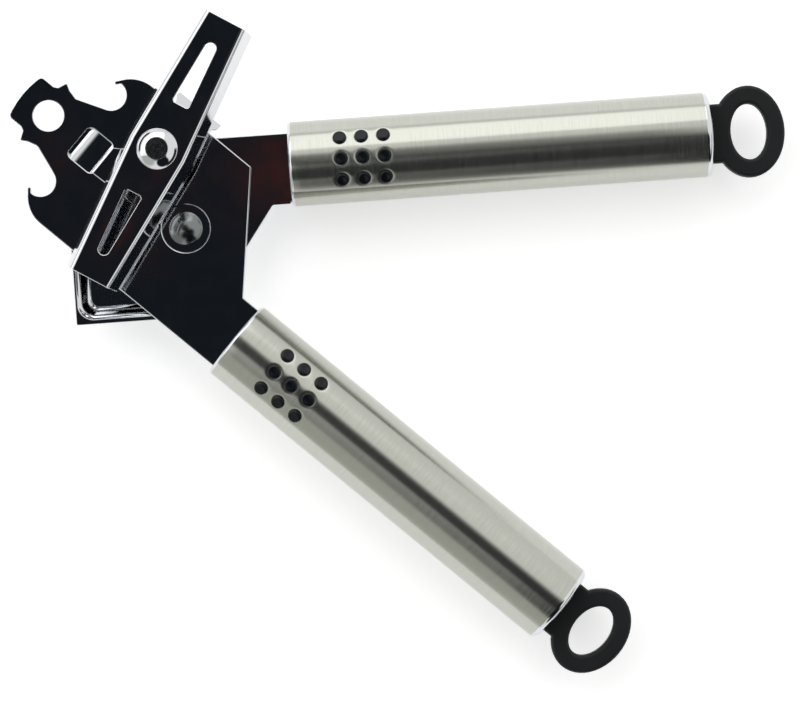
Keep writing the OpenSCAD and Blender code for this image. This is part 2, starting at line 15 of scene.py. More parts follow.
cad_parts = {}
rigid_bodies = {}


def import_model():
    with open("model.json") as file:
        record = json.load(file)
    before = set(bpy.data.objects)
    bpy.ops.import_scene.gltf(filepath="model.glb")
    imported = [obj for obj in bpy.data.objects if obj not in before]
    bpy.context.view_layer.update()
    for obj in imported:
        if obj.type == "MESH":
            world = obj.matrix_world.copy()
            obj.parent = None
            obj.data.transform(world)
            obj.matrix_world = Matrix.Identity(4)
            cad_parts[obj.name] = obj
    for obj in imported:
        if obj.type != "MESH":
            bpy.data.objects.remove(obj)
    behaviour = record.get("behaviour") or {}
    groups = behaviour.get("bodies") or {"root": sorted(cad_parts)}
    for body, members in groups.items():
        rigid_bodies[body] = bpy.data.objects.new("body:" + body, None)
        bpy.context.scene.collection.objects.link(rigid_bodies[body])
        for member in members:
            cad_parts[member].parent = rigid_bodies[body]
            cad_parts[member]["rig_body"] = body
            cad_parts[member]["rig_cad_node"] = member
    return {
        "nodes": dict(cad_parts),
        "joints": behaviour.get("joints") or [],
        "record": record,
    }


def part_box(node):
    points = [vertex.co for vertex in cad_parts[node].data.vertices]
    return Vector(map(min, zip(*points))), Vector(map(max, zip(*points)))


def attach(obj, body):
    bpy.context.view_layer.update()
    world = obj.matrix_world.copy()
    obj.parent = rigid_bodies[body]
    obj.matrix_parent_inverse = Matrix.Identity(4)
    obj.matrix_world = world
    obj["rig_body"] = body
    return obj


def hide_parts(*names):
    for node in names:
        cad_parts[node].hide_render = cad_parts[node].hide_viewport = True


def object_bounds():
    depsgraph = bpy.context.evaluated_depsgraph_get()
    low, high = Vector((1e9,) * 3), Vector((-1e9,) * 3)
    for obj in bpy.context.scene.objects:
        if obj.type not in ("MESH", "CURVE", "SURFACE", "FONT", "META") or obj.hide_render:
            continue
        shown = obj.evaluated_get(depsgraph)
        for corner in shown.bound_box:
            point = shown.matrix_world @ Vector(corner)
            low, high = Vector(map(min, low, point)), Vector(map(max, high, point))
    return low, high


bl_info = {
    "name": "Can opener finishes",
    "version": (1, 0, 0),
    "blender": (4, 5, 0),
    "location": "View3D > Sidebar > Can opener",
    "description": "Rounds a can opener's edges and gives it plated, brushed, "
    "rubber and moulded finishes",
    "category": "Object",
}

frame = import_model()
CAD_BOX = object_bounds()

MM = 0.001
LEVEL = 0.03 * MM  # heights closer together than this count as the same
SIDES = ("front", "rear")


def joint(name):
    """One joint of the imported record."""
    return next(j for j in frame["joints"] if j["name"] == name)


PIVOT = Vector(joint("lever_pivot")["pos_m"])
OPEN_ANGLE = -math.radians(joint("lever_pivot")["range_deg"][0])
LEVER_ANGLE = {"front": 0.0, "rear": OPEN_ANGLE}


def linear(hex_colour):
    """Linear RGBA of an sRGB hex colour such as #A0B1C2."""
    channels = [int(hex_colour[i : i + 2], 16) / 255 for i in (1, 3, 5)]
    low = 12.92
    curve = [c / low if c <= 0.04045 else ((c + 0.055) / 1.055) ** 2.4 for c in channels]
    return (*curve, 1.0)


def per_metre(size_mm):
    """Scale of a pattern whose grains are that size, on coordinates in metres."""
    return 1 / (size_mm * MM)


# ---- sizes and colours that a user would change ----


class OpenerShape(bpy.types.PropertyGroup):
    """Edge and surface sizes of the opener's pieces."""

    sheet_edge: FloatProperty(
        name="Sheet edge",
        description="Radius that tumbling leaves on the pressed plates' edges",
        default=0.3 * MM,
        unit="LENGTH",
    )
    key_edge: FloatProperty(
        name="Key edge",
        description="Radius on the key's cut edges",
        default=0.22 * MM,
        unit="LENGTH",
    )
    tray_fillet: FloatProperty(
        name="Tray fillet",
        description="Radius where the rear plate's tray is drawn",
        default=1.2 * MM,
        unit="LENGTH",
    )
    part_edge: FloatProperty(
        name="Turned part edge",
        description="Radius on washers, wheels and rivets",
        default=0.15 * MM,
        unit="LENGTH",
    )
    ring_edge: FloatProperty(
        name="Ring edge",
        description="Radius round the moulded hanging rings",
        default=0.9 * MM,
        unit="LENGTH",
    )
    key_length: FloatProperty(
        name="Key length",
        description="Length of the key over both wings",
        default=74 * MM,
        unit="LENGTH",
    )
    key_mid: FloatProperty(
        name="Key width",
        description="Width of the key's flat top at the shaft",
        default=13.6 * MM,
        unit="LENGTH",
    )
    key_end: FloatProperty(
        name="Key end width",
        description="Width of the key's flat top at the wing ends",
        default=9.7 * MM,
        unit="LENGTH",
    )
    key_flare: FloatProperty(
        name="Key flare",
        description="How far the turned edges flare past their bends",
        default=1.6 * MM,
        unit="LENGTH",
    )
    key_bend_drawn: FloatProperty(
        name="Drawn bend",
        description="Outer radius of the key's bends in the packed model",
        default=0.8 * MM,
        unit="LENGTH",
    )
    key_bend: FloatProperty(
        name="Key bend",
        description="Outer radius of the key's bends as finished",
        default=1.45 * MM,
        unit="LENGTH",
    )
    pivot_head: FloatProperty(
        name="Pivot head",
        description="Radius of the pivot rivet's domed head",
        default=4.35 * MM,
        unit="LENGTH",
    )
    pivot_rise: FloatProperty(
        name="Pivot rise",
        description="Height of the pivot rivet's domed head",
        default=1.8 * MM,
        unit="LENGTH",
    )
    boss_rise: FloatProperty(
        name="Boss rise",
        description="Height of the key's dome before its top is cut flat",
        default=2.4 * MM,
        unit="LENGTH",
    )
    boss_eye: FloatProperty(
        name="Boss eye",
        description="Radius of the shaft end that shows in the key's dome",
        default=2.9 * MM,
        unit="LENGTH",
    )
    ring_thickness: FloatProperty(
        name="Ring thickness",
        description="Thickness of a hanging ring",
        default=4 * MM,
        unit="LENGTH",
    )
    tube_wall: FloatProperty(
        name="Tube wall",
        description="Wall of the handle tubes",
        default=0.9 * MM,
        unit="LENGTH",
    )
    mouth_round: FloatProperty(
        name="Mouth rounding",
        description="Radius of the rolled rim at a tube's mouth",
        default=0.8 * MM,
        unit="LENGTH",
    )
    end_round: FloatProperty(
        name="End rounding",
        description="Radius of a tube's closed end",
        default=1.5 * MM,
        unit="LENGTH",
    )
    dimple_depth: FloatProperty(
        name="Dimple depth",
        description="Depth of the dimple pressed round each grip dot",
        default=0.65 * MM,
        unit="LENGTH",
    )
    dimple_reach: FloatProperty(
        name="Dimple reach",
        description="Distance from a dot's centre to where its dimple dies out",
        default=2.35 * MM,
        unit="LENGTH",
    )
    dot_edge: FloatProperty(
        name="Dot edge",
        description="Rounding of a rubber grip dot's rim",
        default=0.2 * MM,
        unit="LENGTH",
    )
    tube_sides: IntProperty(
        name="Tube sides",
        description="Steps round a handle tube",
        default=160,
        min=48,
    )


class OpenerFinish(bpy.types.PropertyGroup):
    """Base colours of the opener's finishes."""

    plating: FloatVectorProperty(
        name="Plating",
        description="Reflection colour of the chromium plate",
        subtype="COLOR",
        size=4,
        default=linear("#D5D7DA"),
    )
    tube_steel: FloatVectorProperty(
        name="Handle steel",
        description="Reflection colour of the brushed stainless handles",
        subtype="COLOR",
        size=4,
        default=linear("#B9BAB2"),
    )
    rivet_steel: FloatVectorProperty(
        name="Rivet steel",
        description="Reflection colour of rivets and shafts",
        subtype="COLOR",
        size=4,
        default=linear("#7E8182"),
    )
    zinc: FloatVectorProperty(
        name="Zinc",
        description="Reflection colour of the zinc-plated washers",
        subtype="COLOR",
        size=4,
        default=linear("#A6A8AA"),
    )
    hard_steel: FloatVectorProperty(
        name="Hardened steel",
        description="Reflection colour of the feed wheel and cutting disc",
        subtype="COLOR",
        size=4,
        default=linear("#8B8E93"),
    )
    bronze: FloatVectorProperty(
        name="Bronze",
        description="Reflection colour of the sintered bushing",
        subtype="COLOR",
        size=4,
        default=linear("#C08F55"),
    )
    rubber: FloatVectorProperty(
        name="Rubber",
        description="Colour of the grip dots",
        subtype="COLOR",
        size=4,
        default=linear("#0F1317"),
    )
    nylon: FloatVectorProperty(
        name="Nylon",
        description="Colour of the moulded hanging rings",
        subtype="COLOR",
        size=4,
        default=linear("#14181A"),
    )
    core: FloatVectorProperty(
        name="Core plastic",
        description="Colour of the plastic cores inside the handles",
        subtype="COLOR",
        size=4,
        default=linear("#2C2F32"),
    )


class OpenerStage(bpy.types.PropertyGroup):
    """Camera, floor and studio light."""

    camera_height: FloatProperty(
        name="Camera height",
        description="Height of the camera above the front plate",
        default=0.8,
        unit="LENGTH",
    )
    camera_turn: FloatProperty(
        name="Camera turn",
        description="Turn of the picture about the vertical",
        default=math.radians(39.4),
        subtype="ANGLE",
    )
    lens: FloatProperty(
        name="Lens", description="Focal length in millimetres", default=139.1
    )
    aim: FloatVectorProperty(
        name="Aim",
        description="Point of the front plate's plane under the camera",
        size=2,
        default=(0.10899, 0.01059),
        subtype="XYZ",
    )
    floor_colour: FloatVectorProperty(
        name="Floor",
        description="Colour of the white board",
        subtype="COLOR",
        size=4,
        default=linear("#F6F6F7"),
    )
    board_glow: FloatProperty(
        name="Board glow", description="Light that comes through the board", default=0.47
    )
    sky: FloatProperty(
        name="Sky", description="Brightness of the diffusing tent", default=1.0
    )
    top_softbox: FloatProperty(
        name="Top softbox",
        description="Power in watts of the softbox above the picture",
        default=2.2,
    )
    left_softbox: FloatProperty(
        name="Left softbox",
        description="Power in watts of the softbox left of the picture",
        default=1.3,
    )


def shape():
    """The edge and surface sizes set in the scene."""
    return bpy.context.scene.opener_shape


def finish_of():
    """The finish colours set in the scene."""
    return bpy.context.scene.opener_finish


# ---- materials ----


def add_node(tree, kind, settings=None, values=None, links=None):
    """One shader node with its settings, its input values and what feeds it."""
    node = tree.nodes.new(kind)
    for name, value in (settings or {}).items():
        setattr(node, name, value)
    for name, value in (values or {}).items():
        node.inputs[name].default_value = value
    for name, socket in (links or {}).items():
        tree.links.new(socket, node.inputs[name])
    return node


def blank_material(name):
    """A new material with nothing but its Principled shader."""
    material = bpy.data.materials.new(name)
    material.use_nodes = True
    tree = material.node_tree
    return material, tree, tree.nodes["Principled BSDF"]


def made_once(build):
    """The material that build makes, made the first time and then shared."""

    def get():
        name = build.__name__
        return bpy.data.materials.get(name) or build(name)

    return get


@made_once
def chromium_plate(name):
    """Chromium plate on polished sheet. It mirrors the room, and the pressed
    sheet under it is never quite flat, so long reflections waver."""
    material, tree, shader = blank_material(name)
    shader.inputs["Metallic"].default_value = 1.0
    shader.inputs["Base Color"].default_value = finish_of().plating
    where = add_node(tree, "ShaderNodeTexCoord")
    wave_mm, smear_mm = 16, 5
    wave = add_node(
        tree,
        "ShaderNodeTexNoise",
        values={"Scale": per_metre(wave_mm), "Detail": 1.0},
        links={"Vector": where.outputs["Object"]},
    )
    bump = add_node(
        tree,
        "ShaderNodeBump",
        values={"Strength": 0.25, "Distance": 0.02 * MM},
        links={"Height": wave.outputs["Fac"]},
    )
    smear = add_node(
        tree,
        "ShaderNodeTexNoise",
        values={"Scale": per_metre(smear_mm), "Detail": 4.0, "Roughness": 0.6},
        links={"Vector": where.outputs["Object"]},
    )
    haze = add_node(
        tree,
        "ShaderNodeMapRange",
        values={"From Min": 0.35, "From Max": 0.75, "To Min": 0.035, "To Max": 0.1},
        links={"Value": smear.outputs["Fac"]},
    )
    tree.links.new(haze.outputs["Result"], shader.inputs["Roughness"])
    tree.links.new(bump.outputs["Normal"], shader.inputs["Normal"])
    return material


@made_once
def brushed_stainless(name):
    """Stainless tube brushed round its axis. The fine rings smear reflections
    along the handle, so highlights are long bands with short streaks across."""
    material, tree, shader = blank_material(name)
    shader.inputs["Metallic"].default_value = 1.0
    shader.inputs["Anisotropic"].default_value = 0.85
    shader.inputs["Anisotropic Rotation"].default_value = 0.25
    around = add_node(tree, "ShaderNodeUVMap", settings={"uv_map": "brushing"})
    streak_length_mm, streak_pitch_mm = 7.0, 0.22
    stretched = add_node(
        tree,
        "ShaderNodeMapping",
        values={"Scale": (per_metre(streak_length_mm), per_metre(streak_pitch_mm), 1.0)},
        links={"Vector": around.outputs["UV"]},
    )
    streaks = add_node(
        tree,
        "ShaderNodeTexNoise",
        settings={"noise_dimensions": "2D"},
        values={"Scale": 1.0, "Detail": 3.0, "Roughness": 0.6},
        links={"Vector": stretched.outputs["Vector"]},
    )
    tone = add_node(
        tree,
        "ShaderNodeMix",
        settings={"data_type": "RGBA", "blend_type": "MULTIPLY"},
        values={"Factor": 1.0},
    )
    tone.inputs[6].default_value = finish_of().tube_steel
    shade = add_node(
        tree,
        "ShaderNodeMapRange",
        values={"From Min": 0.3, "From Max": 0.7, "To Min": 0.93, "To Max": 1.03},
        links={"Value": streaks.outputs["Fac"]},
    )
    tree.links.new(shade.outputs["Result"], tone.inputs[7])
    tree.links.new(tone.outputs[2], shader.inputs["Base Color"])
    rough = add_node(
        tree,
        "ShaderNodeMapRange",
        values={"From Min": 0.3, "From Max": 0.7, "To Min": 0.2, "To Max": 0.25},
        links={"Value": streaks.outputs["Fac"]},
    )
    tree.links.new(rough.outputs["Result"], shader.inputs["Roughness"])
    bump = add_node(
        tree,
        "ShaderNodeBump",
        values={"Strength": 0.05, "Distance": 0.01 * MM},
        links={"Height": streaks.outputs["Fac"]},
    )
    tree.links.new(bump.outputs["Normal"], shader.inputs["Normal"])
    tangent = add_node(
        tree,
        "ShaderNodeTangent",
        settings={"direction_type": "UV_MAP", "uv_map": "brushing"},
    )
    tree.links.new(tangent.outputs["Tangent"], shader.inputs["Tangent"])
    return material


@made_once
def burnished_stainless(name):
    """The tubes' rolled rims, where the tool leaves the steel bright."""
    return grained_metal(name, finish_of().plating, 0.1, 1.2, 0.002)


def grained_metal(name, colour, roughness, grain_mm, relief_mm):
    """A metal whose fine grain breaks up its shine, such as a tumbled rivet."""
    material, tree, shader = blank_material(name)
    shader.inputs["Metallic"].default_value = 1.0
    shader.inputs["Base Color"].default_value = colour
    where = add_node(tree, "ShaderNodeTexCoord")
    grain = add_node(
        tree,
        "ShaderNodeTexNoise",
        values={"Scale": per_metre(grain_mm), "Detail": 4.0, "Roughness": 0.65},
        links={"Vector": where.outputs["Object"]},
    )
    rough = add_node(
        tree,
        "ShaderNodeMapRange",
        values={
            "From Min": 0.3,
            "From Max": 0.7,
            "To Min": roughness * 0.75,
            "To Max": roughness * 1.3,
        },
        links={"Value": grain.outputs["Fac"]},
    )
    bump = add_node(
        tree,
        "ShaderNodeBump",
        values={"Strength": 0.5, "Distance": relief_mm * MM},
        links={"Height": grain.outputs["Fac"]},
    )
    tree.links.new(rough.outputs["Result"], shader.inputs["Roughness"])
    tree.links.new(bump.outputs["Normal"], shader.inputs["Normal"])
    return material


@made_once
def polished_rivet_steel(name):
    """Cold-headed steel, tumbled bright: soft, slightly blurred reflections."""
    return grained_metal(name, finish_of().rivet_steel, 0.2, 0.9, 0.002)


@made_once
def zinc_plated_steel(name):
    """Zinc plate on stamped washers: greyer and duller than chromium."""
    return grained_metal(name, finish_of().zinc, 0.34, 0.5, 0.004)


@made_once
def hardened_tool_steel(name):
    """Heat-treated steel, ground on its faces: dark grey with a satin shine."""
    return grained_metal(name, finish_of().hard_steel, 0.3, 0.35, 0.005)


@made_once
def sintered_bronze(name):
    """Oil-soaked sintered bronze: porous, warm and satin."""
    return grained_metal(name, finish_of().bronze, 0.42, 0.25, 0.012)


def moulded_polymer(name, colour, roughness, grain_mm, relief_mm, shine):
    """A moulded plastic or rubber with the mould's fine texture on it."""
    material, tree, shader = blank_material(name)
    shader.inputs["Specular IOR Level"].default_value = shine
    where = add_node(tree, "ShaderNodeTexCoord")
    grain = add_node(
        tree,
        "ShaderNodeTexNoise",
        values={"Scale": per_metre(grain_mm), "Detail": 3.0, "Roughness": 0.6},
        links={"Vector": where.outputs["Object"]},
    )
    cloud_mm = 9
    cloud = add_node(
        tree,
        "ShaderNodeTexNoise",
        values={"Scale": per_metre(cloud_mm), "Detail": 2.0},
        links={"Vector": where.outputs["Object"]},
    )
    rough = add_node(
        tree,
        "ShaderNodeMapRange",
        values={
            "From Min": 0.35,
            "From Max": 0.65,
            "To Min": roughness * 0.88,
            "To Max": roughness * 1.12,
        },
        links={"Value": cloud.outputs["Fac"]},
    )
    tone = add_node(
        tree,
        "ShaderNodeMapRange",
        values={"From Min": 0.3, "From Max": 0.7, "To Min": 0.85, "To Max": 1.15},
        links={"Value": grain.outputs["Fac"]},
    )
    mix = add_node(
        tree,
        "ShaderNodeMix",
        settings={"data_type": "RGBA", "blend_type": "MULTIPLY"},
        values={"Factor": 1.0},
    )
    mix.inputs[6].default_value = colour
    bump = add_node(
        tree,
        "ShaderNodeBump",
        values={"Strength": 0.6, "Distance": relief_mm * MM},
        links={"Height": grain.outputs["Fac"]},
    )
    tree.links.new(tone.outputs["Result"], mix.inputs[7])
    tree.links.new(mix.outputs[2], shader.inputs["Base Color"])
    tree.links.new(rough.outputs["Result"], shader.inputs["Roughness"])
    tree.links.new(bump.outputs["Normal"], shader.inputs["Normal"])
    return material


@made_once
def nitrile_rubber(name):
    """Moulded nitrile rubber: black, with a small soft highlight."""
    return moulded_polymer(name, finish_of().rubber, 0.2, 0.4, 0.004, 0.25)


@made_once
def moulded_nylon(name):
    """Black nylon from a spark-eroded mould: matte, with a fine even grain."""
    return moulded_polymer(name, finish_of().nylon, 0.55, 0.3, 0.02, 0.3)


@made_once
def core_polypropylene(name):
    """Dark polypropylene inside the handles, plain and waxy."""
    return moulded_polymer(name, finish_of().core, 0.5, 0.6, 0.01, 0.4)


SLOT_FINISH = {
    "front_sheet": chromium_plate,
    "rear_sheet": chromium_plate,
    "key_sheet": chromium_plate,
    "boss_metal": chromium_plate,
    "handle_steel": brushed_stainless,
    "rivet_steel": polished_rivet_steel,
    "washer_steel": zinc_plated_steel,
    "hard_steel": hardened_tool_steel,
    "bushing_metal": sintered_bronze,
    "core_plastic": core_polypropylene,
    "ring_plastic": moulded_nylon,
    "grip_rubber": nitrile_rubber,
}
NODE_SLOT = {s["node"]: s["material_slot"] for s in frame["record"]["subparts"]}
NODE_BODY = {
    node: body
    for body, nodes in frame["record"]["behaviour"]["bodies"].items()
    for node in nodes
}


# ---- modelling helpers ----


def only(piece):
    """Makes one object the only one selected, and active."""
    bpy.ops.object.select_all(action="DESELECT")
    piece.select_set(True)
    bpy.context.view_layer.objects.active = piece


def paint(piece, slot):
    """Gives a piece the finish of a record slot."""
    piece.data.materials.clear()
    piece.data.materials.append(SLOT_FINISH[slot]())


def settle(piece, node):
    """A finished piece stands for its CAD node: it rides, hides and is slotted."""
    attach(piece, NODE_BODY[node])
    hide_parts(node)
    paint(piece, NODE_SLOT[node])


def merged_copy(node, name, grain=0.002 * MM):
    """A copy of a CAD node whose loose triangles are merged into flat faces,
    and whose points closer together than grain are joined."""
    only(frame["nodes"][node])
    bpy.ops.object.duplicate()
    piece = bpy.context.active_object
    piece.name = name
    piece.parent = None
    del piece["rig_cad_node"]
    del piece["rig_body"]
    bpy.ops.mesh.customdata_custom_splitnormals_clear()
    still_flat = math.radians(0.6)
    bpy.ops.object.mode_set(mode="EDIT")
    bpy.ops.mesh.select_all(action="SELECT")
    bpy.ops.mesh.remove_doubles(threshold=grain)
    bpy.ops.mesh.dissolve_limited(angle_limit=still_flat)
    bpy.ops.object.mode_set(mode="OBJECT")
    return piece


def soften(piece, width, steps=3, rounds_at=None):
    """Rounds the outer sharp edges, and keeps the flats flat in reflections.
    rounds_at, where it is given, is true at the heights of the edges to round."""
    sharp = math.radians(28)

    def outer(edge):
        if len(edge.link_faces) != 2:
            return False
        if rounds_at and not all(rounds_at(v.co.z) for v in edge.verts):
            return False
        return edge.is_convex and edge.calc_face_angle() > sharp

    only(piece)
    bpy.ops.object.mode_set(mode="EDIT")
    select_edges(piece, outer)
    bpy.ops.transform.edge_bevelweight(value=1.0)
    bpy.ops.object.mode_set(mode="OBJECT")
    rounding = piece.modifiers.new("rounding", "BEVEL")
    rounding.width = width
    rounding.segments = steps
    rounding.limit_method = "WEIGHT"
    rounding.use_clamp_overlap = False
    rounding.miter_outer = "MITER_ARC"
    bpy.ops.object.modifier_apply(modifier=rounding.name)
    refuse_folds(piece)
    smooth_shading(piece)


def refuse_folds(piece):
    """Stops when a face folds over itself, as one does round too wide an edge."""
    most = 1.004  # drawn area over true area, which is 1 without a fold
    mesh = piece.data
    mesh.calc_loop_triangles()
    drawn = sum(triangle.area for triangle in mesh.loop_triangles)
    true = sum(face.area for face in mesh.polygons)
    if drawn > most * true:
        raise RuntimeError(f"{piece.name}: a rounded edge is wider than its face allows")


def smooth_shading(piece, angle=40):
    """Smooth shading that leaves large flat faces exactly flat."""
    only(piece)
    bpy.ops.object.shade_smooth_by_angle(angle=math.radians(angle))
    flats = piece.modifiers.new("flats", "WEIGHTED_NORMAL")
    flats.keep_sharp = True
    flats.weight = 100  # the largest face decides
    bpy.ops.object.modifier_apply(modifier=flats.name)


def rounded_piece(node, name, width, steps=3):
    """A CAD node's own shape with rounded edges and its finish."""
    piece = merged_copy(node, name)
    soften(piece, width, steps)
    settle(piece, node)
    return piece


def select_edges(piece, chosen):
    """In edit mode, selects the edges for which chosen(edge) is true."""
    bpy.ops.mesh.select_all(action="DESELECT")
    bpy.ops.mesh.select_mode(type="EDGE")
    mesh = bmesh.from_edit_mesh(piece.data)
    for edge in mesh.edges:
        edge.select_set(chosen(edge))
    bmesh.update_edit_mesh(piece.data)


# ---- plates ----


def rear_underside():
    """Height of the rear plate's underside. Its sheet is as thick as the front
    plate's, which is the length of the hanging hole."""
    hole = next(m for m in frame["record"]["mounts"] if m["name"] == "hanging_hole")
    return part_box("rear_plate")[1].z - hole["dims"]["length_mm"] * MM


def round_tray(piece):
    """Rolls the long edges where the tray's sloping walls meet its flats."""
    underside = rear_underside()
    upright, leaning, flat = 0.1, 0.9, 0.99  # upward parts of the faces' normals

    def on_tray(edge):
        if len(edge.link_faces) != 2 or abs(edge.verts[0].co.z - underside) < LEVEL:
            return False
        slopes = sorted(abs(face.normal.z) for face in edge.link_faces)
        return upright < slopes[0] < leaning and slopes[1] > flat

    bpy.ops.object.mode_set(mode="EDIT")
    select_edges(piece, on_tray)
    bpy.ops.mesh.bevel(
        offset=shape().tray_fillet, segments=4, profile=0.5, clamp_overlap=False
    )
    bpy.ops.object.mode_set(mode="OBJECT")


class OPENER_OT_plates(bpy.types.Operator):
    """Make the two pressed and plated lever plates."""

    bl_idname = "can_opener.plates"
    bl_label = "Lever plates"

    def execute(self, context):
        outline_step = 0.09 * MM
        piece = merged_copy("front_plate", "head_plate", outline_step)
        # the lip beside the feed wheel hangs below the sheet and keeps its edges
        sheet_low = -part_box("front_plate")[1].z - LEVEL
        soften(piece, shape().sheet_edge, rounds_at=lambda z: z > sheet_low)
        settle(piece, "front_plate")
        piece = merged_copy("rear_plate", "tray_plate")
        round_tray(piece)
        underside = rear_underside()
        soften(
            piece, shape().sheet_edge, rounds_at=lambda z: abs(z - underside) > LEVEL
        )
        settle(piece, "rear_plate")
        return {"FINISHED"}


# ---- key ----


KEY_TURN = math.radians(101.5)  # of the key as stored, from the front handle


def widen_bends(piece):
    """Opens the bends along the key's long edges to a larger radius, and keeps
    the top and the turned edges in their planes."""
    s = shape()
    centre = Vector(joint("key_turn")["pos_m"])
    low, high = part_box("key")
    lean = math.atan(s.key_flare / (high.z - low.z - s.key_bend_drawn))
    taper = math.atan((s.key_mid - s.key_end) / s.key_length)
    shift = (s.key_bend - s.key_bend_drawn) * math.tan((math.pi / 2 - lean) / 2)
    turn = Matrix.Rotation(KEY_TURN, 4, "Z")
    near = 0.02 * MM
    moved = 0
    for vertex in piece.data.vertices:
        point = turn.inverted() @ (vertex.co - centre)
        side = math.copysign(1, point.y)
        narrowing = abs(point.x) * math.sin(taper)
        out = (abs(point.y) - s.key_mid / 2) * math.cos(taper) + narrowing
        up = vertex.co.z - high.z + s.key_bend_drawn
        on_bend = abs(math.hypot(out, up) - s.key_bend_drawn) < near
        if not on_bend or out < -near or up < 0:
            continue
        angle = math.atan2(up, out)
        reach = s.key_bend * math.cos(angle) - shift - narrowing
        point.y = side * (s.key_mid / 2 + reach / math.cos(taper))
        spot = turn @ point + centre
        spot.z = high.z - s.key_bend + s.key_bend * math.sin(angle)
        vertex.co = spot
        moved += 1
    if not moved:
        raise RuntimeError("no bend was found along the key's edges")


class OPENER_OT_key(bpy.types.Operator):
    """Make the folded key and the domed boss at its middle."""

    bl_idname = "can_opener.key"
    bl_label = "Turning key"

    def execute(self, context):
        piece = merged_copy("key", "turning_key")
        widen_bends(piece)
        soften(piece, shape().key_edge)
        settle(piece, "key")
        low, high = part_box("key_boss")
        radius, eye, steps = (high.x - low.x) / 2, shape().boss_eye, 24
        arc = dome_arc(radius, shape().boss_rise, eye, steps)
        arc = [(low.z + z, r) for z, r in arc if low.z + z <= high.z]
        profile = arc + [(high.z, eye), (low.z, eye), (low.z, radius)]
        turned_piece("key_boss", "key_dome", (low + high) / 2, profile)
        return {"FINISHED"}


# ---- handles ----


def dome_arc(radius, rise, stop_r, steps):
    """Points of a dome from its rim in to stop_r, as (height, radius) pairs."""
    ball = (radius * radius + rise * rise) / (2 * rise)
    start, stop = math.asin(radius / ball), math.asin(stop_r / ball)
    angles = [start + (stop - start) * i / steps for i in range(steps + 1)]
    return [(ball * math.cos(a) - ball + rise, ball * math.sin(a)) for a in angles]


def turned_piece(node, name, centre, profile, sides=96):
    """A turned part about an upright axis through centre, with its finish."""
    piece = turned_ring(name, profile, sides)
    only(piece)
    piece.location = (centre.x, centre.y, 0)
    bpy.ops.object.transform_apply(location=True, rotation=True, scale=True)
    bpy.ops.object.shade_smooth_by_angle(angle=math.radians(32))
    settle(piece, node)


def handle_axis(side):
    """Mouth centre, direction, radius and length of one handle tube."""
    low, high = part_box("front_tube")
    radius, length = (high.z - low.z) / 2, high.x - low.x
    angle = LEVER_ANGLE[side]
    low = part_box(side + "_tube")[0]
    mouth = Vector(
        (low.x + radius * math.sin(angle), low.y + radius * math.cos(angle), low.z + radius)
    )
    along = Vector((math.cos(angle), math.sin(angle), 0))
    return mouth, along, radius, length


DOT_TURN = math.radians(30)  # between rows of grip dots round the tube


def dot_layout():
    """Middle of the grip dots from the mouth, and their pitch along the tube.
    The pad is as long as three pitches."""
    low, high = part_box("front_grip_pad")
    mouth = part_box("front_tube")[0].x
    return (low.x + high.x) / 2 - mouth, (high.x - low.x) / 3


def dot_places():
    """Distance along the tube and angle round it of each grip dot."""
    middle, pitch = dot_layout()
    return [(middle + i * pitch, j * DOT_TURN) for i in (-1, 0, 1) for j in (-1, 0, 1)]


def quarter_arc(centre_z, centre_r, radius, start, end, steps):
    """Points of an arc in the (distance along, radius) plane."""
    return [
        (
            centre_z + radius * math.cos(start + (end - start) * i / steps),
            centre_r + radius * math.sin(start + (end - start) * i / steps),
        )
        for i in range(steps + 1)
    ]


def tube_profile(radius, length):
    """Closed outline of the tube's wall as (distance along, radius) pairs."""
    s = shape()
    bore = radius - s.tube_wall
    lip, lip_depth, lip_lean = bore - 0.3 * MM, 0.6 * MM, 0.1 * MM
    end_hole, end_fillet = radius - s.end_round - 0.4 * MM, 0.6 * MM
    # fine steps where the dimples are pressed, coarse ones along the plain part
    middle, pitch = dot_layout()
    dimpled = 1.7 * pitch
    fine_from, fine_to, fine_step = middle - dimpled, middle + dimpled, 0.36 * MM
    fine_count = round((fine_to - fine_from) / fine_step)
    fine = [(fine_from + i * fine_step, radius) for i in range(fine_count + 1)]
    plain_step, plain_count = 8 * MM, 8
    plain = [(fine_to + (i + 1) * plain_step, radius) for i in range(plain_count)]
    rim_end, waist = 3 * MM, length * 0.6
    outer_mouth = quarter_arc(
        s.mouth_round, radius - s.mouth_round, s.mouth_round, math.pi, math.pi / 2, 6
    )
    far = quarter_arc(
        length - s.end_round, radius - s.end_round, s.end_round, math.pi / 2, 0, 8
    )
    inner_far = length - s.tube_wall
    return (
        [(lip_depth, lip), (0.0, lip + lip_lean)]
        + outer_mouth
        + [(rim_end, radius)]
        + fine
        + plain
        + far
        + [(length, end_hole), (inner_far, end_hole), (inner_far, bore - end_fillet)]
        + [(inner_far - end_fillet, bore)]
        + [(z, bore) for z in (waist, fine_to, middle, fine_from)]
        + [(lip_depth, bore)]
    )


